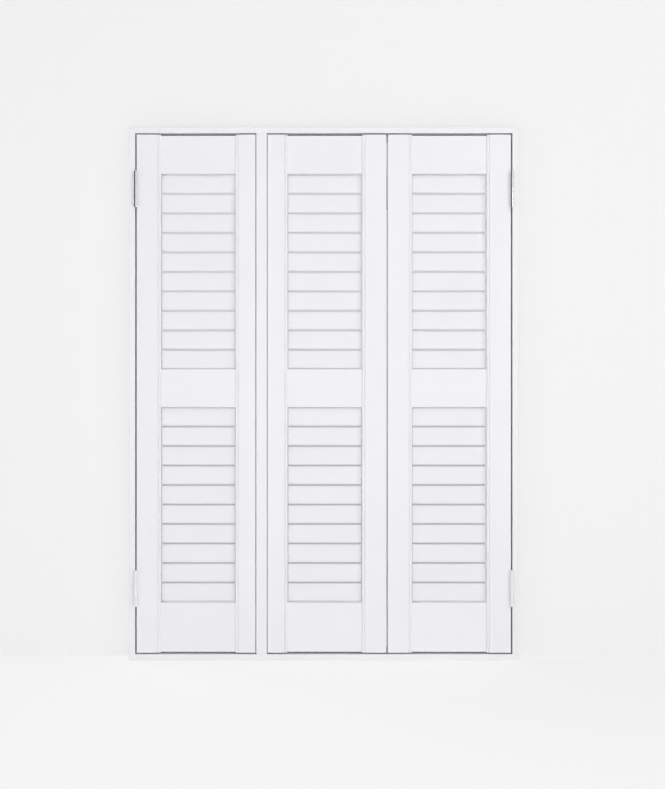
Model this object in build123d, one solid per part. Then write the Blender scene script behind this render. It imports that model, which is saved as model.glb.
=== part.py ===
"""Three louvred shutter panels in their frame: one hinged on the left post, two folding on the right post.

Millimetres. The origin is the middle of the frame's base. X runs to the right as seen from the room,
Y runs from the room to the window, and Z is up. The shutters are shut, with their louvres upright.
"""

import math
import os

from build123d import *

# Frame
frame_width = 818.0
frame_height = 1120.0
frame_depth = 50.0
frame_face = 12.7
frame_round = 1.2
lip_overlap = 9.0
fixing_hole_radius = 2.5
fixing_hole_inset = 260.0

# Gaps round the panels
side_gap = 3.0
end_gap = 3.0
panel_setback = 1.0
stop_clearance = 1.2

# Upright between the left and the middle panel
post_width = 23.3
post_gap = 1.0
post_round = 3.0

# Panels
panel_thickness = 28.0
stile_width = 51.0
closing_stile_width = 42.0
closing_bevel = 2.0
edge_round = 1.0
bead_width = 5.0
bead_drop = 1.5
quirk_width = 1.6
quirk_depth = 2.0
rail_thickness = 22.0
top_rail_height = 79.6
middle_rail_height = 79.6
bottom_rail_height = 103.2
top_rail_inset = 2.0
bottom_rail_inset = 1.2
tenon_length = 20.0
tenon_thickness = 8.0
tenon_shoulder = 10.0
tenon_clearance = 0.1

# Louvres
louvres_per_tier = 10
louvre_gap = 3.1
louvre_thickness = 6.5
louvre_end_gap = 1.5
pin_radius = 2.5
pin_insertion = 8.0
pin_end_clearance = 1.0
pin_sides = 6
running_clearance = 0.06
louvre_bevel = 2.0

# Tilt mechanism inside the stile that carries the drive pins
cover_strip_thickness = 5.0
layer_clearance = 0.4
crank_radius = 7.0
crank_thickness = 2.5
crank_width = 6.0
crank_pin_radius = 1.5
crank_start_angle = -82.5
link_width = 6.0
link_thickness = 3.0
link_end_margin = 5.0
channel_clearance = 0.6

# Hinges
hinge_height = 76.0
end_knuckle_height = 16.0
knuckle_radius = 3.8
knuckle_gap = 0.3
hinge_pin_radius = 2.0
leaf_thickness = 1.2
leaf_depth = 20.0
barrel_clearance = 0.3
lower_hinge_from_base = 151.5
upper_hinge_from_top = 130.8

# Places worked out from the sizes above
half_width = frame_width / 2
front_y = -frame_depth / 2
back_y = frame_depth / 2
panel_front_y = front_y + panel_setback
panel_back_y = panel_front_y + panel_thickness
pivot_y = (panel_front_y + panel_back_y) / 2
lip_front_y = panel_back_y + stop_clearance
lip_reach = side_gap + lip_overlap
inner_half_width = half_width - frame_face
panel_bottom_z = frame_face + end_gap
panel_top_z = frame_height - frame_face - end_gap

stiles_width = 4 * stile_width + 2 * closing_stile_width
opening_width = (
    2 * inner_half_width - 3 * side_gap - post_width - 2 * post_gap - stiles_width
) / 3
closing_panel_width = stile_width + opening_width + closing_stile_width
folding_panel_width = 2 * stile_width + opening_width

bottom_rail_z = panel_bottom_z + bottom_rail_inset
top_rail_top_z = panel_top_z - top_rail_inset
rails_height = top_rail_height + middle_rail_height + bottom_rail_height
opening_height = (top_rail_top_z - bottom_rail_z - rails_height) / 2
lower_opening_z = bottom_rail_z + bottom_rail_height
middle_rail_z = lower_opening_z + opening_height
upper_opening_z = middle_rail_z + middle_rail_height
top_rail_z = upper_opening_z + opening_height

louvre_pitch = opening_height / louvres_per_tier
louvre_chord = louvre_pitch - louvre_gap
louvre_length = opening_width - 2 * louvre_end_gap

left_panel_x = -inner_half_width + side_gap
post_x = left_panel_x + closing_panel_width + post_gap
middle_panel_x = post_x + post_width + post_gap
right_panel_x = middle_panel_x + closing_panel_width + side_gap

hinge_standoff = knuckle_radius + barrel_clearance
frame_hinge_y = front_y - hinge_standoff
fold_hinge_y = panel_back_y + hinge_standoff
hinge_heights = {
    "lower": lower_hinge_from_base,
    "upper": frame_height - upper_hinge_from_top,
}

# The crank turns behind the cover strip, and the link strip lies behind the crank
crank_layer = cover_strip_thickness + layer_clearance
link_layer = crank_layer + crank_thickness + layer_clearance
channel_layer = link_layer + link_thickness + layer_clearance
crank_tail = crank_width / 2
crank_nose = crank_pin_radius + 1.0
crank_sweep = math.hypot(crank_radius + crank_nose, crank_width / 2)
channel_front_y = pivot_y - math.hypot(crank_tail, crank_width / 2) - channel_clearance
channel_back_y = pivot_y + max(crank_sweep, crank_radius + link_width / 2) + channel_clearance
crank_pin_y = crank_radius * math.cos(math.radians(crank_start_angle))
crank_pin_z = crank_radius * math.sin(math.radians(crank_start_angle))


def block(x_range, y_range, z_range):
    """A box between two values on each axis, given in either order."""
    ranges = (x_range, y_range, z_range)
    size = [abs(high - low) for low, high in ranges]
    centre = [(low + high) / 2 for low, high in ranges]
    return Pos(*centre) * Box(*size)


def rod_x(x_start, x_end, y, z, radius):
    """A round rod along X."""
    middle = Pos((x_start + x_end) / 2, y, z)
    return middle * Rot(0, 90, 0) * Cylinder(radius, abs(x_end - x_start))


def rod_z(x, y, z_range, radius):
    """A round rod along Z."""
    low, high = z_range
    return Pos(x, y, (low + high) / 2) * Cylinder(radius, high - low)


def pivot_heights(opening_z):
    """The louvre axes of a tier, from the top down."""
    count = louvres_per_tier
    return [opening_z + louvre_pitch * (count - index - 0.5) for index in range(count)]


def frame_member(length, centre, turn):
    """One mitred side of the frame: a web with rounded room-side edges, and the light-stop lip."""
    full_reach = frame_face + lip_reach
    web = block((0, frame_face), (front_y, back_y), (-length / 2, length / 2))
    web = fillet(web.edges().filter_by(Axis.Z).group_by(Axis.Y)[0], frame_round)
    lip = block((0, full_reach), (lip_front_y, back_y), (-length / 2, length / 2))
    mitre = Plane.XZ * make_face(
        Polyline(
            (0, -length / 2),
            (full_reach, full_reach - length / 2),
            (full_reach, length / 2 - full_reach),
            (0, length / 2),
            close=True,
        )
    )
    member = (web + lip) & extrude(mitre, amount=frame_depth, both=True)
    return Pos(*centre) * Rot(0, turn, 0) * member


def fixing_holes(x):
    """Two screw holes through a post's web, hidden behind the panel's edge."""
    heights = (fixing_hole_inset, frame_height - fixing_hole_inset)
    span = (x - frame_face, x + frame_face)
    return [rod_x(*span, pivot_y, z, fixing_hole_radius) for z in heights]


def t_post():
    """The upright that both closing stiles shut against, scribed over the lips of head and sill."""
    x_range = (post_x, post_x + post_width)
    overlap = post_gap + lip_overlap
    stem = block(x_range, (front_y, back_y), (frame_face, frame_height - frame_face))
    nose = stem.edges().filter_by(Axis.Z).group_by(Axis.Y)[0]
    stem = fillet(nose, post_round)
    ends = frame_face + lip_reach
    flanges = block(
        (x_range[0] - overlap, x_range[1] + overlap),
        (lip_front_y, back_y),
        (ends, frame_height - ends),
    )
    for low, high in ((0, ends), (frame_height - ends, frame_height)):
        stem -= block(x_range, (lip_front_y, back_y), (low, high))
    return stem + flanges


def stile_profile(width, bevel):
    """Section of a stile: outer edge at zero, beaded louvre edge at its width, room face at zero."""
    bead_start = width - bead_width
    quirk_start = bead_start - quirk_width
    corner = edge_round * (1 - math.sqrt(0.5))
    outline = [
        ThreePointArc((0, edge_round), (corner, corner), (edge_round, 0)),
        Polyline(
            (edge_round, 0),
            (quirk_start, 0),
            (quirk_start + quirk_width / 2, quirk_depth),
            (bead_start, bead_drop),
        ),
        ThreePointArc((bead_start, bead_drop), (bead_start + bead_width / 2, 0), (width, bead_drop)),
        Polyline((width, bead_drop), (width, panel_thickness), (bevel, panel_thickness), (0, edge_round)),
    ]
    return make_face(outline)


def stile(outer_x, inward, width, bevel=0.0):
    """A stile standing on its outer edge's place, with its bead on the side that points inward."""
    prism = extrude(stile_profile(width, bevel), amount=panel_top_z - panel_bottom_z, dir=(0, 0, 1))
    if inward < 0:
        prism = mirror(prism, Plane.YZ)
    body = Pos(outer_x, panel_front_y, panel_bottom_z) * prism
    inner_x = outer_x + inward * width
    for low, high in rail_spans():
        body -= tenon(inner_x, -inward, (low, high), tenon_clearance)
    return body


def rail_spans():
    """Lower and upper edge of the bottom, the middle and the top rail."""
    return (
        (bottom_rail_z, lower_opening_z),
        (middle_rail_z, upper_opening_z),
        (top_rail_z, top_rail_top_z),
    )


def tenon(stile_edge_x, outward, span, clearance=0.0):
    """A rail's tenon, or with a clearance its mortise, reaching from the stile's edge into the stile."""
    half = tenon_thickness / 2 + clearance
    reach = stile_edge_x + outward * (tenon_length + clearance)
    low, high = span
    shoulder = tenon_shoulder - clearance
    return block((stile_edge_x, reach), (pivot_y - half, pivot_y + half), (low + shoulder, high - shoulder))


def rails(left_x):
    """The three rails between two stile edges, rounded on the room side, with a tenon at each end."""
    right_x = left_x + opening_width
    half = rail_thickness / 2
    pieces = []
    for span in rail_spans():
        rail = block((left_x, right_x), (pivot_y - half, pivot_y + half), span)
        rail = fillet(rail.edges().filter_by(Axis.X).group_by(Axis.Y)[0], edge_round)
        pieces.append(rail + tenon(left_x, -1, span) + tenon(right_x, 1, span))
    return Compound(children=pieces)


def slat(left_x, z):
    """A flat slat with eased edges, upright on its axis."""
    section = Plane.YZ * chamfer(Rectangle(louvre_thickness, louvre_chord).vertices(), louvre_bevel)
    bar = extrude(section, amount=louvre_length, dir=(1, 0, 0))
    return Pos(left_x + louvre_end_gap, pivot_y, z) * bar


def pin_x(x_start, x_end, y, z, radius):
    """A moulded pin along X. Its corners run on the circle that the radius gives."""
    section = Plane.YZ * RegularPolygon(radius, pin_sides)
    length = abs(x_end - x_start)
    return Pos(min(x_start, x_end), y, z) * extrude(section, amount=length, dir=(1, 0, 0))


def socket_x(x_start, x_end, y, z, radius):
    """The square socket along X in which a pin of this radius turns."""
    half = radius + running_clearance
    return block((x_start, x_end), (y - half, y + half), (z - half, z + half))


def fixed_tier(left_x):
    """The lower tier: its louvres stay shut in this model, and their pins end at the stiles."""
    right_x = left_x + opening_width
    pieces = []
    for z in pivot_heights(lower_opening_z):
        pins = pin_x(left_x, right_x, pivot_y, z, pin_radius)
        pieces.append(slat(left_x, z) + pins)
    return Compound(children=pieces)


def tilting_louvre(left_x, drive, z):
    """A louvre with its end pin, and its drive pin with crank on the side that drive points to."""
    right_x = left_x + opening_width
    drive_x, end_x = (right_x, left_x) if drive > 0 else (left_x, right_x)
    end_pin = pin_x(end_x + drive * louvre_end_gap, end_x - drive * pin_insertion, pivot_y, z, pin_radius)
    crank_start = drive_x + drive * crank_layer
    crank_end = crank_start + drive * crank_thickness
    drive_pin = pin_x(drive_x - drive * louvre_end_gap, crank_start, pivot_y, z, pin_radius)
    lever = block(
        (crank_start, crank_end),
        (-crank_tail, crank_radius + crank_nose),
        (-crank_width / 2, crank_width / 2),
    )
    lever = Pos(0, pivot_y, z) * Rot(crank_start_angle, 0, 0) * lever
    link_back = drive_x + drive * (link_layer + link_thickness)
    crank_pin = pin_x(crank_end, link_back, pivot_y + crank_pin_y, z + crank_pin_z, crank_pin_radius)
    return slat(left_x, z) + end_pin + drive_pin + lever + crank_pin


def tilt_link(left_x, drive):
    """The strip in the stile's channel that ties the cranks of a tier together."""
    drive_x = left_x + opening_width if drive > 0 else left_x
    near = drive_x + drive * link_layer
    far = near + drive * link_thickness
    heights = [z + crank_pin_z for z in pivot_heights(upper_opening_z)]
    y = pivot_y + crank_pin_y
    strip = block(
        (near, far),
        (y - link_width / 2, y + link_width / 2),
        (min(heights) - link_end_margin, max(heights) + link_end_margin),
    )
    for z in heights:
        strip -= socket_x(near, far, y, z, crank_pin_radius)
    return strip


def channel_span():
    """Lower and upper end of the channel: the link strip's travel and a little more."""
    travel = crank_radius + link_end_margin + channel_clearance
    heights = pivot_heights(upper_opening_z)
    return min(heights) - travel, max(heights) + travel


def drive_stile(outer_x, inward):
    """A stile with the channel routed for the tilt mechanism, and the strip glued into its mouth."""
    body = stile(outer_x, inward, stile_width)
    edge_x = outer_x + inward * stile_width
    depth_range = (channel_front_y, channel_back_y)
    mouth = (edge_x, edge_x - inward * cover_strip_thickness)
    body -= block((edge_x, edge_x - inward * channel_layer), depth_range, channel_span())
    cover = block(mouth, depth_range, channel_span())
    for z in pivot_heights(upper_opening_z):
        cover -= socket_x(*mouth, pivot_y, z, pin_radius)
    return Compound(children=[body, cover])


def end_stile(outer_x, inward, width, bevel=0.0):
    """A stile with a blind socket for the end pin of each tilting louvre."""
    body = stile(outer_x, inward, width, bevel)
    edge_x = outer_x + inward * width
    hole_end = edge_x - inward * (pin_insertion + pin_end_clearance)
    for z in pivot_heights(upper_opening_z):
        body -= socket_x(edge_x, hole_end, pivot_y, z, pin_radius)
    return body


def knuckle_spans(centre_z):
    """Lower, middle and upper knuckle of a hinge."""
    low = centre_z - hinge_height / 2
    high = centre_z + hinge_height / 2
    return (
        (low, low + end_knuckle_height),
        (low + end_knuckle_height + knuckle_gap, high - end_knuckle_height - knuckle_gap),
        (high - end_knuckle_height, high),
    )


def hinge_leaf(axis_x, axis_y, centre_z, side, inward, knuckles):
    """One leaf: a plate against the side that it is fixed to, and the knuckles that belong to it.

    side is the direction along X from the axis to the plate, and inward is the direction along Y
    from the barrel into the gap.
    """
    near = axis_x + side * (side_gap / 2 - leaf_thickness)
    far = axis_x + side * side_gap / 2
    plate_start = axis_y + inward * (hinge_standoff + barrel_clearance / 2)
    plate_end = axis_y + inward * (hinge_standoff + leaf_depth)
    half = hinge_height / 2
    leaf = block((near, far), (plate_start, plate_end), (centre_z - half, centre_z + half))
    for span in knuckles:
        leaf += block((near, far), (axis_y, plate_start), span)
        leaf += rod_z(axis_x, axis_y, span, knuckle_radius)
    bore = (centre_z - half - 1, centre_z + half + 1)
    return leaf - rod_z(axis_x, axis_y, bore, hinge_pin_radius + running_clearance)


def outer_leaf(axis_x, axis_y, centre_z, side, inward):
    """The leaf with the two end knuckles."""
    low, _, high = knuckle_spans(centre_z)
    return hinge_leaf(axis_x, axis_y, centre_z, side, inward, (low, high))


def middle_leaf(axis_x, axis_y, centre_z, side, inward):
    """The leaf with the middle knuckle."""
    _, middle, _ = knuckle_spans(centre_z)
    return hinge_leaf(axis_x, axis_y, centre_z, side, inward, (middle,))


def hinge_pin(axis_x, axis_y, centre_z):
    """The pin of one hinge, as long as its barrel."""
    half = hinge_height / 2
    return rod_z(axis_x, axis_y, (centre_z - half, centre_z + half), hinge_pin_radius)


def frame_nodes():
    """The four mitred sides and the upright."""
    left = frame_member(frame_height, (-half_width, 0, frame_height / 2), 0)
    right = frame_member(frame_height, (half_width, 0, frame_height / 2), 180)
    for hole in fixing_holes(-half_width):
        left -= hole
    for hole in fixing_holes(half_width):
        right -= hole
    return {
        "frame_left_post": left,
        "frame_right_post": right,
        "frame_sill": frame_member(frame_width, (0, 0, 0), -90),
        "frame_head": frame_member(frame_width, (0, 0, frame_height), 90),
        "frame_t_post": t_post(),
    }


def panel_nodes(name, opening_x, drive):
    """Rails, louvres and tilt link of one panel, whose louvre opening starts at opening_x."""
    nodes = {
        f"{name}_rails": rails(opening_x),
        f"{name}_lower_louvres": fixed_tier(opening_x),
        f"{name}_tilt_link": tilt_link(opening_x, drive),
    }
    for index, z in enumerate(pivot_heights(upper_opening_z), start=1):
        nodes[f"{name}_louvre_{index:02d}"] = tilting_louvre(opening_x, drive, z)
    return nodes


def stile_nodes():
    """The six stiles. The wide stile beside a hinge carries the tilt mechanism."""
    middle_right_x = middle_panel_x + closing_panel_width
    right_right_x = right_panel_x + folding_panel_width
    left_closing_x = left_panel_x + closing_panel_width
    return {
        "left_hinge_stile": drive_stile(left_panel_x, 1),
        "left_closing_stile": end_stile(left_closing_x, -1, closing_stile_width, closing_bevel),
        "middle_closing_stile": end_stile(middle_panel_x, 1, closing_stile_width, closing_bevel),
        "middle_fold_stile": drive_stile(middle_right_x, -1),
        "right_fold_stile": end_stile(right_panel_x, 1, stile_width),
        "right_hinge_stile": drive_stile(right_right_x, -1),
    }


def hinge_nodes():
    """Four hinges in front of the frame's gaps and two behind the folding pair."""
    left_axis_x = -inner_half_width + side_gap / 2
    right_axis_x = -left_axis_x
    fold_axis_x = right_panel_x - side_gap / 2
    nodes = {}
    for row, z in hinge_heights.items():
        nodes[f"frame_{row}_hinge_leaves"] = Compound(
            children=[
                outer_leaf(left_axis_x, frame_hinge_y, z, -1, 1),
                outer_leaf(right_axis_x, frame_hinge_y, z, 1, 1),
            ]
        )
        nodes[f"left_{row}_hinge_leaf"] = middle_leaf(left_axis_x, frame_hinge_y, z, 1, 1)
        nodes[f"right_{row}_hinge_leaf"] = middle_leaf(right_axis_x, frame_hinge_y, z, -1, 1)
    heights = hinge_heights.values()
    pins = [hinge_pin(x, frame_hinge_y, z) for x in (left_axis_x, right_axis_x) for z in heights]
    nodes["frame_hinge_pins"] = Compound(children=pins)
    fold = (fold_axis_x, fold_hinge_y)
    nodes["right_fold_hinge_leaves"] = Compound(
        children=[outer_leaf(*fold, z, 1, -1) for z in heights]
    )
    nodes["middle_fold_hinge_leaves"] = Compound(
        children=[middle_leaf(*fold, z, -1, -1) for z in heights]
    )
    nodes["fold_hinge_pins"] = Compound(children=[hinge_pin(*fold, z) for z in heights])
    return nodes


def all_nodes():
    """Every piece by its name."""
    openings = (
        ("left", left_panel_x + stile_width, -1),
        ("middle", middle_panel_x + closing_stile_width, 1),
        ("right", right_panel_x + stile_width, 1),
    )
    nodes = frame_nodes() | stile_nodes() | hinge_nodes()
    for name, opening_x, drive in openings:
        nodes |= panel_nodes(name, opening_x, drive)
    return nodes


os.makedirs("parts", exist_ok=True)
for node, shape in all_nodes().items():
    export_step(shape, f"parts/{node}.step")
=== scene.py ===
"""Looks of three louvred shutter panels in their frame: paint, plate and steel, louvres, screws and studio.

Metres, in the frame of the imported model: X to the right as seen from the room, Y towards the window, Z up.
"""

import logging
import math
from dataclasses import dataclass, field
from enum import Enum
from typing import Any

import bmesh
import bpy
from mathutils import Matrix, Vector


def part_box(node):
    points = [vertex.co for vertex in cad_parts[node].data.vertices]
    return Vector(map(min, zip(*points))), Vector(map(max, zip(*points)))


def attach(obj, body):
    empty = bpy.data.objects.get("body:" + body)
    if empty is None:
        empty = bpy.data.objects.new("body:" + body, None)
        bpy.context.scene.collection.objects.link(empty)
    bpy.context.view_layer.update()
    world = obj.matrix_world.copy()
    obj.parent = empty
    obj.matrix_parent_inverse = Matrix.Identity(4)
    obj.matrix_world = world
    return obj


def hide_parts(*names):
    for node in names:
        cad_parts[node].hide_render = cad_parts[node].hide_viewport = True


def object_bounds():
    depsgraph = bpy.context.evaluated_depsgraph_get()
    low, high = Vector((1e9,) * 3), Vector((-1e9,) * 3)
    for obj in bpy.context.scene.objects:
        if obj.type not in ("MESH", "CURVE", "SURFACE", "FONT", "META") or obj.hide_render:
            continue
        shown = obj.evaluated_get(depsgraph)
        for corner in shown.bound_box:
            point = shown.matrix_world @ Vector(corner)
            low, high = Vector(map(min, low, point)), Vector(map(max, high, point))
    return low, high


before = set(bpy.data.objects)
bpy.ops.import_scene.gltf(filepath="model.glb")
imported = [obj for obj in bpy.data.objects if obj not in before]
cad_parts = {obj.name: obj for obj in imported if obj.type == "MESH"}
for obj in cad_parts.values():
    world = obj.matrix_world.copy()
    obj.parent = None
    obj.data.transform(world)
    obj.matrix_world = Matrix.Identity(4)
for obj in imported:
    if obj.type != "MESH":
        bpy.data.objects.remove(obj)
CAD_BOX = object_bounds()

LOG = logging.getLogger("shutters")
MM = 0.001
MERGE_DISTANCE = 0.001 * MM
ARRIS_SAMPLES = 6
PHOTO_WIDTH_PX = 665
PHOTO_HEIGHT_PX = 789


class Slot(Enum):
    """The record's material slots."""

    FRAME = "painted_frame"
    PANEL = "painted_panel"
    LOUVRE = "painted_louvre"
    BRIGHT_HINGE = "bright_hinge"
    PAINTED_HINGE = "painted_hinge"
    PIN = "steel_pin"
    LINK = "link_aluminium"


class Grain(Enum):
    """Direction in which the wood under the paint runs."""

    UPRIGHT = "upright"
    CROSSWISE = "crosswise"


class Side(Enum):
    """Direction along X."""

    LEFT = -1
    RIGHT = 1


class Depth(Enum):
    """Direction along Y."""

    ROOM = -1
    WINDOW = 1


def linear(code: str) -> tuple[float, float, float, float]:
    """Turns an sRGB hex colour to linear values.

    Args:
        code: Six hex digits, with or without a leading mark.

    Returns:
        Red, green, blue and an alpha of one.
    """
    digits = code.lstrip("#")
    values = [int(digits[at : at + 2], 16) / 255 for at in (0, 2, 4)]
    red, green, blue = (v / 12.92 if v <= 0.04045 else ((v + 0.055) / 1.055) ** 2.4 for v in values)
    return red, green, blue, 1.0


def add(
    tree: bpy.types.NodeTree,
    kind: str,
    settings: dict[str, Any] | None = None,
    inputs: dict[str | int, Any] | None = None,
) -> bpy.types.Node:
    """Adds a node with its settings, values and links.

    Args:
        tree: The tree that gets the node.
        kind: The node's type name.
        settings: Attributes of the node.
        inputs: For each input, by name or index, a value, or the output that it is linked to.

    Returns:
        The new node.
    """
    node = tree.nodes.new(kind)
    for name, value in (settings or {}).items():
        setattr(node, name, value)
    for key, value in (inputs or {}).items():
        if isinstance(value, bpy.types.NodeSocket):
            tree.links.new(value, node.inputs[key])
        else:
            node.inputs[key].default_value = value
    return node


def new_material(name: str) -> bpy.types.Material:
    """Makes a material with an empty node tree."""
    material = bpy.data.materials.new(name)
    material.use_nodes = True
    material.node_tree.nodes.clear()
    return material


@dataclass(frozen=True)
class SatinPaint:
    """Satin paint, sprayed over sanded wood.

    The film is even and soft in sheen. A faint orange peel breaks up its reflections, and the wood's
    grain telegraphs through as long shallow streaks. The roughness never falls under 0.28: a patch that
    crosses about 0.27 shows as a sharp-edged spot in a denoised render.
    """

    name: str
    grain: Grain
    colour: str = "#F3F3F5"
    low_colour: str = "#EDEDF0"
    roughness: float = 0.34
    roughness_fall: float = 0.04
    roughness_rise: float = 0.06
    ior: float = 1.47
    arris: float = 0.4 * MM
    peel_spacing: float = 1.4 * MM
    peel_depth: float = 0.006 * MM
    peel_detail: float = 1.0
    grain_width: float = 2.2 * MM
    grain_length: float = 60 * MM
    grain_depth: float = 0.012 * MM
    grain_detail: float = 3.0
    grain_share: float = 0.35
    tone_spacing: float = 160 * MM
    tone_detail: float = 2.0

    def build(self) -> bpy.types.Material:
        """Builds the material.

        Returns:
            A material that reads Object coordinates.
        """
        material = new_material(self.name)
        tree = material.node_tree
        place = add(tree, "ShaderNodeTexCoord").outputs["Object"]
        across, along = 1 / self.grain_width, 1 / self.grain_length
        scale = (across, across, along) if self.grain is Grain.UPRIGHT else (along, across, across)
        stretched = add(
            tree, "ShaderNodeMapping", {"vector_type": "POINT"}, {"Vector": place, "Scale": scale}
        )
        streaks = add(
            tree,
            "ShaderNodeTexNoise",
            inputs={"Vector": stretched.outputs["Vector"], "Scale": 1.0, "Detail": self.grain_detail},
        )
        tone = add(
            tree,
            "ShaderNodeTexNoise",
            inputs={"Vector": place, "Scale": 1 / self.tone_spacing, "Detail": self.tone_detail},
        )
        peel = add(
            tree,
            "ShaderNodeTexNoise",
            inputs={"Vector": place, "Scale": 1 / self.peel_spacing, "Detail": self.peel_detail},
        )
        blend = add(
            tree,
            "ShaderNodeMix",
            {"data_type": "FLOAT"},
            {0: self.grain_share, 2: tone.outputs[0], 3: streaks.outputs[0]},
        )
        colour = add(
            tree,
            "ShaderNodeMix",
            {"data_type": "RGBA"},
            {0: blend.outputs[0], 6: linear(self.low_colour), 7: linear(self.colour)},
        )
        sheen = add(
            tree,
            "ShaderNodeMapRange",
            inputs={
                "Value": tone.outputs[0],
                "To Min": self.roughness - self.roughness_fall,
                "To Max": self.roughness + self.roughness_rise,
            },
        )
        rounded = add(tree, "ShaderNodeBevel", {"samples": ARRIS_SAMPLES}, {"Radius": self.arris})
        grain_relief = add(
            tree,
            "ShaderNodeBump",
            inputs={
                "Strength": 1.0,
                "Distance": self.grain_depth,
                "Height": streaks.outputs[0],
                "Normal": rounded.outputs[0],
            },
        )
        relief = add(
            tree,
            "ShaderNodeBump",
            inputs={
                "Strength": 1.0,
                "Distance": self.peel_depth,
                "Height": peel.outputs[0],
                "Normal": grain_relief.outputs[0],
            },
        )
        shader = add(
            tree,
            "ShaderNodeBsdfPrincipled",
            inputs={
                "Base Color": colour.outputs[2],
                "Roughness": sheen.outputs[0],
                "Normal": relief.outputs[0],
                "IOR": self.ior,
            },
        )
        add(tree, "ShaderNodeOutputMaterial", inputs={"Surface": shader.outputs[0]})
        return material


@dataclass(frozen=True)
class SteelEnamel:
    """White enamel over a stamped steel hinge.

    It is glossier than the paint on wood and lies thick in the corners, so edges look soft and the
    surface has a wider, deeper peel.
    """

    name: str
    colour: str = "#F4F4F6"
    low_colour: str = "#ECECEF"
    roughness: float = 0.27
    ior: float = 1.5
    arris: float = 0.5 * MM
    peel_spacing: float = 2.6 * MM
    peel_depth: float = 0.02 * MM
    peel_detail: float = 2.0

    def build(self) -> bpy.types.Material:
        """Builds the material.

        Returns:
            A material that reads Object coordinates.
        """
        material = new_material(self.name)
        tree = material.node_tree
        place = add(tree, "ShaderNodeTexCoord").outputs["Object"]
        peel = add(
            tree,
            "ShaderNodeTexNoise",
            inputs={"Vector": place, "Scale": 1 / self.peel_spacing, "Detail": self.peel_detail},
        )
        colour = add(
            tree,
            "ShaderNodeMix",
            {"data_type": "RGBA"},
            {0: peel.outputs[0], 6: linear(self.low_colour), 7: linear(self.colour)},
        )
        rounded = add(tree, "ShaderNodeBevel", {"samples": ARRIS_SAMPLES}, {"Radius": self.arris})
        relief = add(
            tree,
            "ShaderNodeBump",
            inputs={
                "Strength": 1.0,
                "Distance": self.peel_depth,
                "Height": peel.outputs[0],
                "Normal": rounded.outputs[0],
            },
        )
        shader = add(
            tree,
            "ShaderNodeBsdfPrincipled",
            inputs={
                "Base Color": colour.outputs[2],
                "Roughness": self.roughness,
                "Normal": relief.outputs[0],
                "IOR": self.ior,
            },
        )
        add(tree, "ShaderNodeOutputMaterial", inputs={"Surface": shader.outputs[0]})
        return material


@dataclass(frozen=True)
class WorkedMetal:
    """A bare or plated metal with fine lines left by the way it was worked.

    Lines run along Z. Polished plate has almost none and mirrors the room, and drawn steel and
    extruded aluminium blur reflections across their lines.
    """

    name: str
    colour: str
    low_colour: str
    roughness: float
    line_spacing: float
    line_length: float
    line_depth: float
    roughness_spread: float = 0.04
    line_detail: float = 2.0
    arris: float = 0.25 * MM

    def build(self) -> bpy.types.Material:
        """Builds the material.

        Returns:
            A material that reads Object coordinates.
        """
        material = new_material(self.name)
        tree = material.node_tree
        place = add(tree, "ShaderNodeTexCoord").outputs["Object"]
        across, along = 1 / self.line_spacing, 1 / self.line_length
        stretched = add(
            tree,
            "ShaderNodeMapping",
            {"vector_type": "POINT"},
            {"Vector": place, "Scale": (across, across, along)},
        )
        lines = add(
            tree,
            "ShaderNodeTexNoise",
            inputs={"Vector": stretched.outputs["Vector"], "Scale": 1.0, "Detail": self.line_detail},
        )
        colour = add(
            tree,
            "ShaderNodeMix",
            {"data_type": "RGBA"},
            {0: lines.outputs[0], 6: linear(self.low_colour), 7: linear(self.colour)},
        )
        gloss = add(
            tree,
            "ShaderNodeMapRange",
            inputs={
                "Value": lines.outputs[0],
                "To Min": self.roughness,
                "To Max": self.roughness + self.roughness_spread,
            },
        )
        rounded = add(tree, "ShaderNodeBevel", {"samples": ARRIS_SAMPLES}, {"Radius": self.arris})
        relief = add(
            tree,
            "ShaderNodeBump",
            inputs={
                "Strength": 1.0,
                "Distance": self.line_depth,
                "Height": lines.outputs[0],
                "Normal": rounded.outputs[0],
            },
        )
        shader = add(
            tree,
            "ShaderNodeBsdfPrincipled",
            inputs={
                "Base Color": colour.outputs[2],
                "Metallic": 1.0,
                "Roughness": gloss.outputs[0],
                "Normal": relief.outputs[0],
            },
        )
        add(tree, "ShaderNodeOutputMaterial", inputs={"Surface": shader.outputs[0]})
        return material


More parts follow.
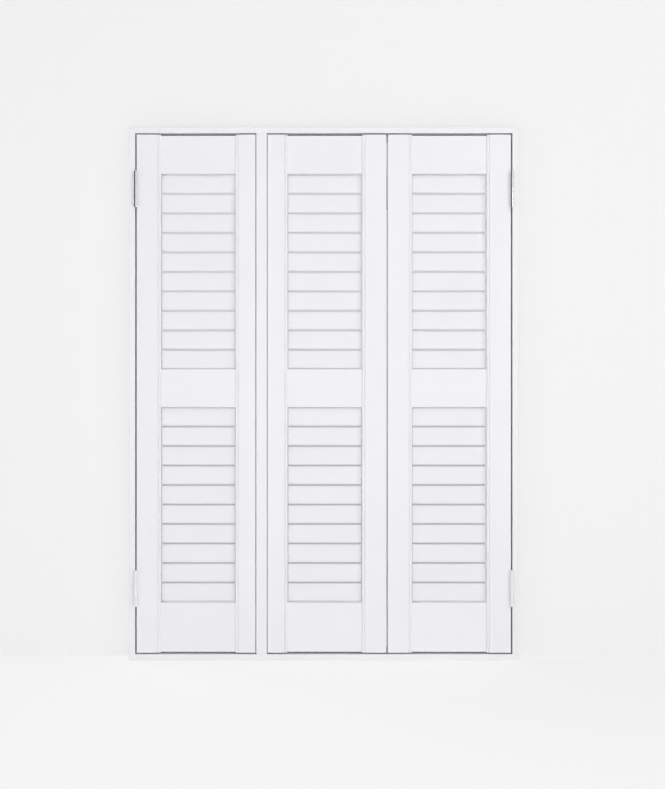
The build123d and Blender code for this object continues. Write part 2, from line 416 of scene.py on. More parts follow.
@dataclass
class Finishes:
    """Every material of the object, each built once."""

    upright_paint: SatinPaint = SatinPaint("satin_paint_on_upright_wood", Grain.UPRIGHT)
    crosswise_paint: SatinPaint = SatinPaint("satin_paint_on_crosswise_wood", Grain.CROSSWISE)
    # The louvres' paint is a touch greyer than the rest: painted shade for their place deep in the openings.
    shaded_louvre_paint: SatinPaint = SatinPaint(
        "satin_paint_on_louvres_painted_shade",
        Grain.CROSSWISE,
        colour="#F1F1F3",
        low_colour="#EBEBEE",
        roughness=0.32,
        grain_width=1.6 * MM,
    )
    hinge_enamel: SteelEnamel = SteelEnamel("white_enamel_on_steel")
    chrome: WorkedMetal = WorkedMetal(
        "polished_chrome_plate",
        colour="#E4E6EA",
        low_colour="#DDDFE4",
        roughness=0.05,
        line_spacing=0.9 * MM,
        line_length=6 * MM,
        line_depth=0.0015 * MM,
        roughness_spread=0.03,
    )
    drawn_steel: WorkedMetal = WorkedMetal(
        "drawn_steel",
        colour="#B9BBBE",
        low_colour="#A5A7AB",
        roughness=0.29,
        line_spacing=0.35 * MM,
        line_length=12 * MM,
        line_depth=0.004 * MM,
    )
    mill_aluminium: WorkedMetal = WorkedMetal(
        "mill_finish_aluminium",
        colour="#C9CBCE",
        low_colour="#B7BABE",
        roughness=0.34,
        line_spacing=0.5 * MM,
        line_length=30 * MM,
        line_depth=0.006 * MM,
    )
    built: dict[str, bpy.types.Material] = field(default_factory=dict)

    def material(self, finish: SatinPaint | SteelEnamel | WorkedMetal) -> bpy.types.Material:
        """Gives the material of a finish, building it at the first call.

        Args:
            finish: One of this class's finishes.

        Returns:
            The finish's one material.
        """
        if finish.name not in self.built:
            self.built[finish.name] = finish.build()
        return self.built[finish.name]

    def for_node(self, name: str) -> bpy.types.Material:
        """Chooses the material of a model node by its name.

        Args:
            name: The node's name.

        Returns:
            Its material.
        """
        if name.endswith("_pins"):
            return self.material(self.drawn_steel)
        if name.endswith("_tilt_link"):
            return self.material(self.mill_aluminium)
        if "_upper_hinge_" in name:
            return self.material(self.chrome)
        if "hinge_lea" in name:
            return self.material(self.hinge_enamel)
        if "louvre" in name:
            return self.material(self.shaded_louvre_paint)
        if name.endswith("_rails") or name in ("frame_head", "frame_sill"):
            return self.material(self.crosswise_paint)
        return self.material(self.upright_paint)


def geometry_tree(
    name: str, sockets: list[tuple[str, str]]
) -> tuple[bpy.types.NodeTree, bpy.types.Node, dict[str, str]]:
    """Starts a Geometry Nodes tree that makes its own geometry.

    Args:
        name: The tree's name.
        sockets: Name and socket type of each input.

    Returns:
        The tree, its input node, and each input's identifier by its name.
    """
    tree = bpy.data.node_groups.new(name, "GeometryNodeTree")
    tree.interface.new_socket("Geometry", in_out="OUTPUT", socket_type="NodeSocketGeometry")
    names = {}
    for label, kind in sockets:
        names[label] = tree.interface.new_socket(label, in_out="INPUT", socket_type=kind).identifier
    return tree, tree.nodes.new("NodeGroupInput"), names


def baked(
    name: str, tree: bpy.types.NodeTree, names: dict[str, str], values: dict[str, Any]
) -> bpy.types.Mesh:
    """Runs a Geometry Nodes tree and keeps its result as a plain mesh.

    Args:
        name: The mesh's name.
        tree: The tree.
        names: Each input's identifier by its name.
        values: Each input's value by its name.

    Returns:
        The mesh, with its materials.
    """
    carrier = bpy.data.objects.new(name + ".carrier", bpy.data.meshes.new(name + ".empty"))
    bpy.context.scene.collection.objects.link(carrier)
    modifier = carrier.modifiers.new("maker", "NODES")
    modifier.node_group = tree
    for label, value in values.items():
        modifier[names[label]] = value
    bpy.context.view_layer.update()
    graph = bpy.context.evaluated_depsgraph_get()
    mesh = bpy.data.meshes.new_from_object(carrier.evaluated_get(graph))
    mesh.name = name
    empty = carrier.data
    carrier.modifiers.remove(modifier)
    bpy.data.objects.remove(carrier)
    bpy.data.meshes.remove(empty)
    return mesh


def ease(mesh: bpy.types.Mesh, degrees: float = 35.0) -> None:
    """Merges doubles, turns faces outwards and shades smooth across shallow edges.

    Args:
        mesh: A mesh of closed shells.
        degrees: Edges that turn by more than this stay sharp.
    """
    work = bmesh.new()
    work.from_mesh(mesh)
    bmesh.ops.remove_doubles(work, verts=work.verts, dist=MERGE_DISTANCE)
    bmesh.ops.recalc_face_normals(work, faces=work.faces)
    limit = math.radians(degrees)
    for face in work.faces:
        face.smooth = True
    for edge in work.edges:
        edge.smooth = edge.calc_face_angle(math.pi) < limit
    work.to_mesh(mesh)
    work.free()


def join(name: str, meshes: list[bpy.types.Mesh]) -> bpy.types.Mesh:
    """Puts meshes of one material into one mesh.

    Args:
        name: The new mesh's name.
        meshes: Meshes in place, which are used up.

    Returns:
        One mesh with the first one's materials.
    """
    work = bmesh.new()
    for mesh in meshes:
        work.from_mesh(mesh)
    joined = bpy.data.meshes.new(name)
    for material in meshes[0].materials:
        joined.materials.append(material)
    work.to_mesh(joined)
    work.free()
    for mesh in meshes:
        bpy.data.meshes.remove(mesh)
    return joined


def piece(name: str, mesh: bpy.types.Mesh, body: str, replaces: tuple[str, ...] = ()) -> None:
    """Puts a finished mesh into the scene as a piece of the object.

    Args:
        name: The piece's name.
        mesh: Its mesh, in place.
        body: The body that it rides on.
        replaces: Model nodes that it stands for.
    """
    made = bpy.data.objects.new(name, mesh)
    bpy.context.scene.collection.objects.link(made)
    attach(made, body)
    if replaces:
        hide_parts(*replaces)
    LOG.info("%s: %d faces on %s", name, len(mesh.polygons), body)


@dataclass
class Louvres:
    """The two tiers of one panel: flat blades with full round edges on round pins.

    A blade's edges are rounded by just under half of its thickness, so that a hair of flat is left.
    The left and right of the opening, the louvres' axis, chord and pitch come from the model.
    """

    panel: str
    drive: Side
    finishes: Finishes
    end_gap: float = 1.5 * MM
    nose_share: float = 0.498
    nose_steps: int = 10
    pin_radius: float = 2.5 * MM
    pin_steps: int = 24
    pin_root: float = 2.0 * MM
    end_pin_reach: float = 8.0 * MM
    crank_start: float = 5.4 * MM
    crank_thickness: float = 2.5 * MM
    crank_width: float = 6.0 * MM
    crank_radius: float = 7.0 * MM
    crank_nose: float = 2.5 * MM
    crank_turn: float = math.radians(-82.5)
    crank_pin_radius: float = 1.5 * MM
    crank_pin_length: float = 3.4 * MM
    crank_steps: int = 16

    def __post_init__(self) -> None:
        """Reads the panel's opening, axis and pitch from the model."""
        low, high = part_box(f"{self.panel}_lower_louvres")
        self.left, self.right = low.x, high.x
        self.centre_x = (low.x + high.x) / 2
        self.axis_y = (low.y + high.y) / 2
        self.thickness = high.y - low.y
        first_low, first_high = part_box(f"{self.panel}_louvre_01")
        self.chord = first_high.z - first_low.z
        self.count = sum(name.startswith(f"{self.panel}_louvre_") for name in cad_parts)
        self.lower_top_z = high.z - self.chord / 2
        self.lower_pitch = (high.z - low.z - self.chord) / (self.count - 1)
        self.blade_length = self.right - self.left - 2 * self.end_gap

    def blade_tree(self) -> tuple[bpy.types.NodeTree, dict[str, str]]:
        """Builds the tree of a row of blades with their pins.

        Returns:
            The tree and its inputs' identifiers.
        """
        number, whole = "NodeSocketFloat", "NodeSocketInt"
        sockets = [
            ("Length", number),
            ("Chord", number),
            ("Thickness", number),
            ("Nose Steps", whole),
            ("Left Pin", number),
            ("Right Pin", number),
            ("Pin Radius", number),
            ("Pin Steps", whole),
            ("Pin Root", number),
            ("Count", whole),
            ("Pitch", number),
            ("Paint", "NodeSocketMaterial"),
        ]
        tree, source, names = geometry_tree("louvre_blades", sockets)
        given = source.outputs
        product = {"operation": "MULTIPLY"}
        outline = add(
            tree,
            "GeometryNodeCurvePrimitiveQuadrilateral",
            {"mode": "RECTANGLE"},
            {"Width": given["Thickness"], "Height": given["Chord"]},
        )
        nose = add(tree, "ShaderNodeMath", product, {0: given["Thickness"], 1: self.nose_share})
        section = add(
            tree,
            "GeometryNodeFilletCurve",
            {"mode": "POLY"},
            {"Curve": outline.outputs[0], "Count": given["Nose Steps"], "Radius": nose.outputs[0]},
        )
        left = add(tree, "ShaderNodeMath", product, {0: given["Length"], 1: -0.5}).outputs[0]
        right = add(tree, "ShaderNodeMath", product, {0: given["Length"], 1: 0.5}).outputs[0]
        start = add(tree, "ShaderNodeCombineXYZ", inputs={"X": left})
        end = add(tree, "ShaderNodeCombineXYZ", inputs={"X": right})
        line = add(
            tree,
            "GeometryNodeCurvePrimitiveLine",
            {"mode": "POINTS"},
            {"Start": start.outputs[0], "End": end.outputs[0]},
        )
        blade = add(
            tree,
            "GeometryNodeCurveToMesh",
            inputs={"Curve": line.outputs[0], "Profile Curve": section.outputs[0], "Fill Caps": True},
        )
        gather = add(tree, "GeometryNodeJoinGeometry")
        tree.links.new(blade.outputs[0], gather.inputs[0])
        for label, side, edge in (("Left Pin", Side.LEFT, left), ("Right Pin", Side.RIGHT, right)):
            ends = {0: given[label], 1: given["Pin Root"]}
            depth = add(tree, "ShaderNodeMath", {"operation": "ADD"}, ends)
            cylinder = add(
                tree,
                "GeometryNodeMeshCylinder",
                inputs={
                    "Vertices": given["Pin Steps"],
                    "Radius": given["Pin Radius"],
                    "Depth": depth.outputs[0],
                },
            )
            stand_out = add(tree, "ShaderNodeMath", {"operation": "SUBTRACT"}, ends)
            offset = add(
                tree,
                "ShaderNodeMath",
                {"operation": "MULTIPLY_ADD"},
                {0: stand_out.outputs[0], 1: side.value / 2, 2: edge},
            )
            place = add(tree, "ShaderNodeCombineXYZ", inputs={"X": offset.outputs[0]})
            pin = add(
                tree,
                "GeometryNodeTransform",
                inputs={
                    "Geometry": cylinder.outputs[0],
                    "Translation": place.outputs[0],
                    "Rotation": (0.0, math.pi / 2, 0.0),
                },
            )
            tree.links.new(pin.outputs[0], gather.inputs[0])
        down = add(tree, "ShaderNodeMath", product, {0: given["Pitch"], 1: -1.0})
        step = add(tree, "ShaderNodeCombineXYZ", inputs={"Z": down.outputs[0]})
        row = add(
            tree,
            "GeometryNodeMeshLine",
            {"mode": "OFFSET"},
            {"Count": given["Count"], "Offset": step.outputs[0]},
        )
        copies = add(
            tree,
            "GeometryNodeInstanceOnPoints",
            inputs={"Points": row.outputs[0], "Instance": gather.outputs[0]},
        )
        real = add(tree, "GeometryNodeRealizeInstances", inputs={"Geometry": copies.outputs[0]})
        dressed = add(
            tree,
            "GeometryNodeSetMaterial",
            inputs={"Geometry": real.outputs[0], "Material": given["Paint"]},
        )
        add(tree, "NodeGroupOutput", inputs={0: dressed.outputs[0]})
        return tree, names

    def row(self, name: str, count: int, pitch: float, pins: tuple[float, float]) -> bpy.types.Mesh:
        """Makes a row of blades with its first axis at the origin, running down.

        Args:
            name: The mesh's name.
            count: How many blades.
            pitch: From one axis to the next.
            pins: How far the left and the right pin stand out of the blade.

        Returns:
            The row's mesh.
        """
        tree, names = self.blade_tree()
        values = {
            "Length": self.blade_length,
            "Chord": self.chord,
            "Thickness": self.thickness,
            "Nose Steps": self.nose_steps,
            "Left Pin": pins[0],
            "Right Pin": pins[1],
            "Pin Radius": self.pin_radius,
            "Pin Steps": self.pin_steps,
            "Pin Root": self.pin_root,
            "Count": count,
            "Pitch": pitch,
            "Paint": self.finishes.material(self.finishes.shaded_louvre_paint),
        }
        mesh = baked(name, tree, names, values)
        bpy.data.node_groups.remove(tree)
        return mesh

    def crank(self, name: str) -> bpy.types.Mesh:
        """Makes the round-ended lever on the drive pin, with its pin, about the louvre's axis.

        Args:
            name: The mesh's name.

        Returns:
            The lever's mesh, with the axis at the origin and X measured from the stile's edge.
        """
        half = self.crank_width / 2
        far = self.crank_radius + self.crank_nose - half
        steps = self.crank_steps // 2
        outline = []
        for centre, first_turn in ((0.0, math.pi / 2), (far, -math.pi / 2)):
            for at in range(steps + 1):
                turn = first_turn + math.pi * at / steps
                outline.append((centre + half * math.cos(turn), half * math.sin(turn)))
        work = bmesh.new()
        lever_end = self.crank_start + self.crank_thickness
        near = [work.verts.new((self.crank_start, y, z)) for y, z in outline]
        back = [work.verts.new((lever_end, y, z)) for y, z in outline]
        work.faces.new(near)
        work.faces.new(reversed(back))
        for at, start in enumerate(near):
            after = (at + 1) % len(near)
            work.faces.new((start, back[at], back[after], near[after]))
        pin_depth = self.crank_pin_length + self.crank_thickness / 2
        pin_middle = lever_end - self.crank_thickness / 2 + pin_depth / 2
        along_x = Matrix.Rotation(math.pi / 2, 4, "Y")
        bmesh.ops.create_cone(
            work,
            cap_ends=True,
            segments=self.crank_steps,
            radius1=self.crank_pin_radius,
            radius2=self.crank_pin_radius,
            depth=pin_depth,
            matrix=Matrix.Translation((pin_middle, self.crank_radius, 0)) @ along_x,
        )
        bmesh.ops.transform(work, matrix=Matrix.Rotation(self.crank_turn, 4, "X"), verts=work.verts)
        mesh = bpy.data.meshes.new(name)
        work.to_mesh(mesh)
        work.free()
        mesh.materials.append(self.finishes.material(self.finishes.shaded_louvre_paint))
        return mesh

    def build(self) -> None:
        """Makes the tilting blades one by one and the fixed tier as one piece."""
        drive_reach = self.end_gap + self.crank_start
        end_reach = self.end_gap + self.end_pin_reach
        pins = (end_reach, drive_reach) if self.drive is Side.RIGHT else (drive_reach, end_reach)
        edge_x = self.right if self.drive is Side.RIGHT else self.left
        for index in range(1, self.count + 1):
            node = f"{self.panel}_louvre_{index:02d}"
            low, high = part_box(node)
            height = (low.z + high.z) / 2
            blade = self.row(f"{node}_blade", 1, 0.0, pins)
            blade.transform(Matrix.Translation((self.centre_x, self.axis_y, height)))
            lever = self.crank(f"{node}_lever")
            if self.drive is Side.LEFT:
                lever.transform(Matrix.Scale(-1, 4, (1, 0, 0)))
            lever.transform(Matrix.Translation((edge_x, self.axis_y, height)))
            mesh = join(f"{self.panel}_tilting_louvre_{index:02d}", [blade, lever])
            ease(mesh)
            piece(mesh.name, mesh, node, (node,))
        name = f"{self.panel}_fixed_louvres"
        lower = self.row(name, self.count, self.lower_pitch, (self.end_gap, self.end_gap))
        lower.transform(Matrix.Translation((self.centre_x, self.axis_y, self.lower_top_z)))
        ease(lower)
        piece(name, lower, f"{self.panel}_panel", (f"{self.panel}_lower_louvres",))


@dataclass
class LeafScrews:
    """The countersunk cross-head screws of one hinge leaf, seen when the shutter is open."""

    name: str
    body: str
    axis: Vector
    face_side: Side
    slot: Slot
    material: bpy.types.Material
    leaf_way: Depth = Depth.WINDOW
    gap_to_axis: float = 0.3 * MM
    leaf_middle: float = 14.2 * MM
    stagger: float = 3.2 * MM
    head_radius: float = 3.1 * MM
    head_proud: float = 0.14 * MM
    head_depth: float = 0.9 * MM
    recess_length: float = 3.2 * MM
    recess_width: float = 0.8 * MM
    spacing: float = 26.0 * MM
    count: int = 3
    steps: int = 32

    def tree(self) -> tuple[bpy.types.NodeTree, dict[str, str]]:
        """Builds the tree of a staggered row of screw heads that face along X.

        Returns:
            The tree and its inputs' identifiers.
        """
        number = "NodeSocketFloat"
        sockets = [
            ("Head Radius", number),
            ("Head Height", number),
            ("Recess Length", number),
            ("Recess Width", number),
            ("Stagger", number),
            ("Spacing", number),
            ("Count", "NodeSocketInt"),
            ("Steps", "NodeSocketInt"),
            ("Metal", "NodeSocketMaterial"),
        ]
        tree, source, names = geometry_tree("leaf_screws", sockets)
        given = source.outputs
        head = add(
            tree,
            "GeometryNodeMeshCylinder",
            inputs={
                "Vertices": given["Steps"],
                "Radius": given["Head Radius"],
                "Depth": given["Head Height"],
            },
        )
        sunk = add(
            tree,
            "ShaderNodeMath",
            {"operation": "DIVIDE"},
            {0: given["Head Height"], 1: 2.0},
        )
        place = add(tree, "ShaderNodeCombineXYZ", inputs={"Z": sunk.outputs[0]})
        cut = add(tree, "GeometryNodeMeshBoolean", {"operation": "DIFFERENCE"}, {0: head.outputs[0]})
        for first, second in (("Recess Length", "Recess Width"), ("Recess Width", "Recess Length")):
            size = add(
                tree,
                "ShaderNodeCombineXYZ",
                inputs={"X": given[first], "Y": given[second], "Z": given["Head Height"]},
            )
            arm = add(tree, "GeometryNodeMeshCube", inputs={"Size": size.outputs[0]})
            moved = add(
                tree,
                "GeometryNodeTransform",
                inputs={"Geometry": arm.outputs[0], "Translation": place.outputs[0]},
            )
            tree.links.new(moved.outputs[0], cut.inputs[1])
        turned = add(
            tree,
            "GeometryNodeTransform",
            inputs={"Geometry": cut.outputs[0], "Rotation": (0.0, math.pi / 2, 0.0)},
        )
        step = add(tree, "ShaderNodeCombineXYZ", inputs={"Z": given["Spacing"]})
        row = add(
            tree,
            "GeometryNodeMeshLine",
            {"mode": "OFFSET"},
            {"Count": given["Count"], "Offset": step.outputs[0]},
        )
        index = add(tree, "GeometryNodeInputIndex")
        odd = add(tree, "ShaderNodeMath", {"operation": "MODULO"}, {0: index.outputs[0], 1: 2.0})
        aside = add(
            tree,
            "ShaderNodeMath",
            {"operation": "MULTIPLY"},
            {0: odd.outputs[0], 1: given["Stagger"]},
        )
        shift = add(tree, "ShaderNodeCombineXYZ", inputs={"Y": aside.outputs[0]})
        zigzag = add(
            tree,
            "GeometryNodeSetPosition",
            inputs={"Geometry": row.outputs[0], "Offset": shift.outputs[0]},
        )
        copies = add(
            tree,
            "GeometryNodeInstanceOnPoints",
            inputs={"Points": zigzag.outputs[0], "Instance": turned.outputs[0]},
        )
        real = add(tree, "GeometryNodeRealizeInstances", inputs={"Geometry": copies.outputs[0]})
        dressed = add(
            tree,
            "GeometryNodeSetMaterial",
            inputs={"Geometry": real.outputs[0], "Material": given["Metal"]},
        )
        add(tree, "NodeGroupOutput", inputs={0: dressed.outputs[0]})
        return tree, names

    def build(self) -> None:
        """Makes the screws of this leaf, on the face that looks into the gap."""
        tree, names = self.tree()
        values = {
            "Head Radius": self.head_radius,
            "Head Height": self.head_proud + self.head_depth,
            "Recess Length": self.recess_length,
            "Recess Width": self.recess_width,
            "Stagger": self.stagger,
            "Spacing": self.spacing,
            "Count": self.count,
            "Steps": self.steps,
            "Metal": self.material,
        }
        mesh = baked(self.name, tree, names, values)
        bpy.data.node_groups.remove(tree)
        side = self.face_side.value
        if side < 0:
            mesh.transform(Matrix.Rotation(math.pi, 4, "Z"))
        face_x = self.axis.x - side * self.gap_to_axis
        half_height = (self.head_proud + self.head_depth) / 2
        centre_x = face_x + side * (self.head_proud - half_height)
        centre_y = self.axis.y + self.leaf_way.value * self.leaf_middle - side * self.stagger / 2
        bottom_z = self.axis.z - self.spacing * (self.count - 1) / 2
        mesh.transform(Matrix.Translation((centre_x, centre_y, bottom_z)))
        ease(mesh)
        piece(self.name, mesh, self.body)


@dataclass
class Hinges:
    """The screws of all six hinges."""

    finishes: Finishes
    knuckle_radius: float = 3.8 * MM

    def pin_middle(self, panel: str, row: str) -> Vector:
        """Finds the middle of a frame hinge's pin from the box of its leaf and knuckles.

        Args:
            panel: The panel that the hinge carries.
            row: The hinge's row, upper or lower.

        Returns:
            The middle of the pin.
        """
        low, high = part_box(f"{panel}_{row}_hinge_leaf")
        middle = (low + high) / 2
        return Vector((middle.x, low.y + self.knuckle_radius, middle.z))

    def build(self) -> None:
        """Makes the screws of the four frame hinges and of the two that fold the pair."""
        chrome = self.finishes.material(self.finishes.chrome)
        enamel = self.finishes.material(self.finishes.hinge_enamel)
        fold_low, fold_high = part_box("fold_hinge_pins")
        fold_middle = (fold_low + fold_high) / 2
        for row, slot, material in (
            ("upper", Slot.BRIGHT_HINGE, chrome),
            ("lower", Slot.PAINTED_HINGE, enamel),
        ):
            for panel, face_side in (("left", Side.LEFT), ("right", Side.RIGHT)):
                axis = self.pin_middle(panel, row)
                for name, body, side in (
                    (f"{panel}_{row}_hinge_screws", f"{panel}_panel", face_side),
                    (f"frame_{panel}_{row}_hinge_screws", "frame", Side(-face_side.value)),
                ):
                    LeafScrews(name, body, axis, side, slot, material).build()
            axis = Vector((fold_middle.x, fold_middle.y, self.pin_middle("right", row).z))
            for panel, face_side in (("middle", Side.RIGHT), ("right", Side.LEFT)):
                name, body = f"{panel}_{row}_fold_hinge_screws", f"{panel}_panel"
                LeafScrews(
                    name, body, axis, face_side, Slot.PAINTED_HINGE, enamel, Depth.ROOM
                ).build()


@dataclass
class ModelNodes:
    """The model's own nodes, which keep their shape and get their finish."""

    finishes: Finishes

    def build(self) -> None:
        """Gives every node of the model its material."""
        for name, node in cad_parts.items():
            material = self.finishes.for_node(name)
            if not node.material_slots:
                node.data.materials.append(material)
            for at in node.material_slots:
                at.material = material
            LOG.info("%s: %s", name, material.name)


@dataclass(frozen=True)
class Lamp:
    """A soft lamp that faces the middle of the object.

    Its size is its width and its height, and its power is in watts.
    """

    name: str
    place: tuple[float, float, float]
    size: tuple[float, float]
    power: float
    in_gloss: bool = True

    def hang(self) -> None:
        """Adds the lamp to the scene."""
        low, high = CAD_BOX
        data = bpy.data.lights.new(self.name, "AREA")
        data.shape = "RECTANGLE"
        data.size, data.size_y = self.size
        data.energy = self.power
        lamp = bpy.data.objects.new(self.name, data)
        lamp.location = self.place
        lamp.visible_glossy = self.in_gloss
        aim = (low + high) / 2 - Vector(self.place)
        lamp.rotation_euler = aim.to_track_quat("-Z", "Y").to_euler()
        bpy.context.scene.collection.objects.link(lamp)


@dataclass
class Studio:
    """Camera, lamps, floor and backdrop.

    The long lamp overhead draws a highlight along each louvre's nose. Of the upright ones at the sides,
    the right one shows in reflections and draws a line along beads and barrels.
    """

    centre_px: tuple[float, float] = (332.0, 394.0)
    frame_left_px: float = 128.5
    frame_right_px: float = 518.0
    frame_bottom_px: float = 659.8
    distance: float = 2.7
    sensor: float = 36.0
    wall_gap: float = 2.0 * MM
    # The sheet just behind the louvres, inside the frame, is painted shade: it is grey so that the gaps
    # between louvres look shaded, and darker below for the lower tier.
    shade_sheet_gap: float = 1.0 * MM
    shade_sheet_inset: float = 5.0 * MM
    stage_reach: float = 12.0
    tone_reach: float = 250.0 * MM
    pale: str = "#F4F4F4"
    floor_colour: str = "#FDFDFD"
    # Painted shade: the sheet's grey above and, darker, below.
    upper_shade_sheet_colour: str = "#D8D9DB"
    lower_shade_sheet_colour: str = "#BEBFC2"
    card_colour: str = "#0C0D0F"
    ambient_colour: str = "#FFFFFF"
    wall_shade: float = 0.4
    floor_shade: float = 0.28
    card_start: tuple[float, float] = (-1.3, -5.0)
    card_end: tuple[float, float] = (-5.0, -0.4)
    card_heights: tuple[float, float] = (0.02, 4.0)
    ambient: float = 0.34
    lamps: tuple[Lamp, ...] = (
        Lamp("front", (0.3, -2.9, 0.58), (3.2, 1.1), 25.5, in_gloss=False),
        Lamp("overhead", (1.0, -2.8, 3.9), (3.4, 0.8), 39.5),
        Lamp("right_upright", (2.4, -2.2, 0.75), (0.4, 1.4), 10.5),
        Lamp("left_upright", (-2.4, -2.2, 0.75), (0.4, 1.4), 8.5, in_gloss=False),
        Lamp("back", (-2.9, 2.3, 1.0), (1.6, 2.0), 60.0),
    )

    def camera(self) -> None:
        """Puts the camera where the photograph was taken from, looking straight at the window."""
        low, high = CAD_BOX
        width = high.x - low.x
        front_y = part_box("frame_head")[0].y
        metres_per_px = width / (self.frame_right_px - self.frame_left_px)
        x = low.x + (self.centre_px[0] - self.frame_left_px) * metres_per_px
        z = low.z + (self.frame_bottom_px - self.centre_px[1]) * metres_per_px
        data = bpy.data.cameras.new("camera")
        data.sensor_width = self.sensor
        data.lens = self.sensor * self.distance / metres_per_px / max(PHOTO_WIDTH_PX, PHOTO_HEIGHT_PX)
        camera = bpy.data.objects.new("camera", data)
        camera.location = (x, front_y - self.distance, z)
        camera.rotation_euler = (math.pi / 2, 0.0, 0.0)
        bpy.context.scene.collection.objects.link(camera)
        bpy.context.scene.camera = camera

    def pale_surface(
        self, name: str, tones: tuple[str, str], shade: float, see_through_back: bool
    ) -> bpy.types.Material:
        """Makes the plain finish of floor and backdrop, on which shadows are softened for the camera.

        Args:
            name: The material's name.
            tones: Its colour below and above the middle of the object's height; on the sheet behind the
                louvres both are painted shade, the lower one darker.
            shade: The share of real light and shadow that the camera sees, from 0 to 1.
            see_through_back: Whether the camera looks through the surface from behind.

        Returns:
            The material.
        """
        material = new_material(name)
        tree = material.node_tree
        path = add(tree, "ShaderNodeLightPath").outputs
        seen = add(
            tree,
            "ShaderNodeMath",
            {"operation": "MAXIMUM"},
            {0: path["Is Camera Ray"], 1: path["Is Glossy Ray"]},
        )
        share = add(tree, "ShaderNodeMath", {"operation": "MULTIPLY"}, {0: seen.outputs[0], 1: 1 - shade})
        place = add(tree, "ShaderNodeTexCoord").outputs["Object"]
        height = add(tree, "ShaderNodeSeparateXYZ", inputs={"Vector": place}).outputs["Z"]
        middle_z = (CAD_BOX[0].z + CAD_BOX[1].z) / 2
        limits = {
            "Value": height,
            "From Min": middle_z - self.tone_reach,
            "From Max": middle_z + self.tone_reach,
        }
        rise = add(tree, "ShaderNodeMapRange", {"interpolation_type": "SMOOTHSTEP"}, limits)
        blend = {0: rise.outputs[0], 6: linear(tones[0]), 7: linear(tones[1])}
        colour = add(tree, "ShaderNodeMix", {"data_type": "RGBA"}, blend).outputs[2]
        matt = add(tree, "ShaderNodeBsdfDiffuse", inputs={"Color": colour})
        even = add(tree, "ShaderNodeEmission", inputs={"Color": colour, "Strength": 1.0})
        mixed = {0: share.outputs[0], 1: matt.outputs[0], 2: even.outputs[0]}
        surface = add(tree, "ShaderNodeMixShader", inputs=mixed)
        if see_through_back:
            behind = add(tree, "ShaderNodeNewGeometry").outputs["Backfacing"]
            clear = add(tree, "ShaderNodeBsdfTransparent")
            sided = {0: behind, 1: surface.outputs[0], 2: clear.outputs[0]}
            surface = add(tree, "ShaderNodeMixShader", inputs=sided)
        add(tree, "ShaderNodeOutputMaterial", inputs={"Surface": surface.outputs[0]})
        return material

    def plane(
        self, name: str, corners: list[tuple[float, float, float]], material: bpy.types.Material
    ) -> bpy.types.Object:
        """Makes a flat four-sided stage piece.

        Args:
            name: Its name.
            corners: Its corners, anticlockwise as seen from its front.
            material: Its finish.

        Returns:
            The stage object.
        """
        mesh = bpy.data.meshes.new(name)
        mesh.from_pydata(corners, [], [(0, 1, 2, 3)])
        mesh.materials.append(material)
        made = bpy.data.objects.new(name, mesh)
        bpy.context.scene.collection.objects.link(made)
        return made

    def upright(
        self,
        name: str,
        start: tuple[float, float],
        end: tuple[float, float],
        heights: tuple[float, float],
        material: bpy.types.Material,
    ) -> bpy.types.Object:
        """Stands a flat stage piece on the line between two points of the floor plan.

        Args:
            name: Its name.
            start: X and Y of its left edge, as seen from its front.
            end: X and Y of its right edge.
            heights: Its lower and its upper edge.
            material: Its finish.

        Returns:
            The stage object, which throws no shadow and reflects no light.
        """
        low, high = heights
        corners = [(*start, low), (*end, low), (*end, high), (*start, high)]
        made = self.plane(name, corners, material)
        made.visible_shadow = False
        made.visible_diffuse = False
        return made

    def backdrop(self) -> None:
        """Puts up the floor, the pale wall, a grey sheet of painted shade behind the louvres, darker below,
        and the dark card.

        The card stands to the left of the camera and shows in reflections only: it is the dark line
        that a polished barrel needs.
        """
        low, high = CAD_BOX
        reach = self.stage_reach
        tones = (self.floor_colour, self.floor_colour)
        floor = self.pale_surface("pale_floor", tones, self.floor_shade, False)
        corners = [(-reach, -reach, 0), (reach, -reach, 0), (reach, reach, 0), (-reach, reach, 0)]
        self.plane("floor", corners, floor)
        wall_y = high.y + self.wall_gap
        wall = self.pale_surface("pale_wall", (self.pale, self.pale), self.wall_shade, True)
        wall_plane = self.upright("wall", (-reach, wall_y), (reach, wall_y), (0.0, reach), wall)
        wall_plane.visible_glossy = False
        inset = self.shade_sheet_inset
        shade_sheet_y = high.y + self.shade_sheet_gap
        tones = (self.lower_shade_sheet_colour, self.upper_shade_sheet_colour)
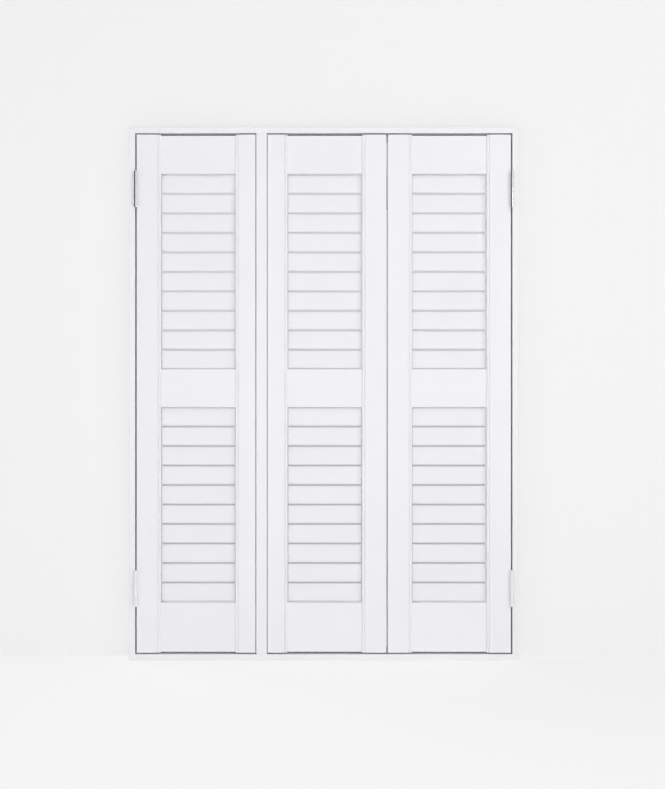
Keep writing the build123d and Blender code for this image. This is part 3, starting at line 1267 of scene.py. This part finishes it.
        # Painted shade: a grey sheet behind the louvres, paler above and darker below, shows in the gaps
        # between them.
        shade_sheet = self.pale_surface("painted_shade_sheet", tones, self.wall_shade, True)
        start, end = (low.x + inset, shade_sheet_y), (high.x - inset, shade_sheet_y)
        heights = (low.z + inset, high.z - inset)
        self.upright("shade_sheet", start, end, heights, shade_sheet).visible_glossy = False
        dark = new_material("dark_card")
        matt = add(dark.node_tree, "ShaderNodeBsdfDiffuse", inputs={"Color": linear(self.card_colour)})
        add(dark.node_tree, "ShaderNodeOutputMaterial", inputs={"Surface": matt.outputs[0]})
        card = self.upright("dark_card", self.card_start, self.card_end, self.card_heights, dark)
        card.visible_camera = False

    def light(self) -> None:
        """Hangs the lamps and sets the soft light from all round.

        The camera and reflections see the world as the pale of the wall.
        """
        for lamp in self.lamps:
            lamp.hang()
        world = bpy.data.worlds.new("studio")
        bpy.context.scene.world = world
        world.use_nodes = True
        tree = world.node_tree
        tree.nodes.clear()
        path = add(tree, "ShaderNodeLightPath").outputs
        either = {"operation": "MAXIMUM"}
        rays = {0: path["Is Glossy Ray"], 1: path["Is Transmission Ray"]}
        gloss = add(tree, "ShaderNodeMath", either, rays)
        rays = {0: path["Is Camera Ray"], 1: gloss.outputs[0]}
        seen = add(tree, "ShaderNodeMath", either, rays)
        ambient = {"Color": linear(self.ambient_colour), "Strength": self.ambient}
        soft = add(tree, "ShaderNodeBackground", inputs=ambient)
        plain = add(tree, "ShaderNodeBackground", inputs={"Color": linear(self.pale), "Strength": 1.0})
        mixed = {0: seen.outputs[0], 1: soft.outputs[0], 2: plain.outputs[0]}
        both = add(tree, "ShaderNodeMixShader", inputs=mixed)
        add(tree, "ShaderNodeOutputWorld", inputs={"Surface": both.outputs[0]})

    def build(self) -> None:
        """Sets up the whole studio."""
        bpy.context.scene.view_settings.view_transform = "Standard"
        self.camera()
        self.backdrop()
        self.light()


def main() -> None:
    """Dresses the model, adds the louvres and screws, and sets up the studio."""
    logging.basicConfig(level=logging.INFO, format="%(message)s")
    finishes = Finishes()
    ModelNodes(finishes).build()
    for panel, drive in (("left", Side.LEFT), ("middle", Side.RIGHT), ("right", Side.RIGHT)):
        Louvres(panel, drive, finishes).build()
    Hinges(finishes).build()
    Studio().build()


if __name__ == "__main__":
    main()
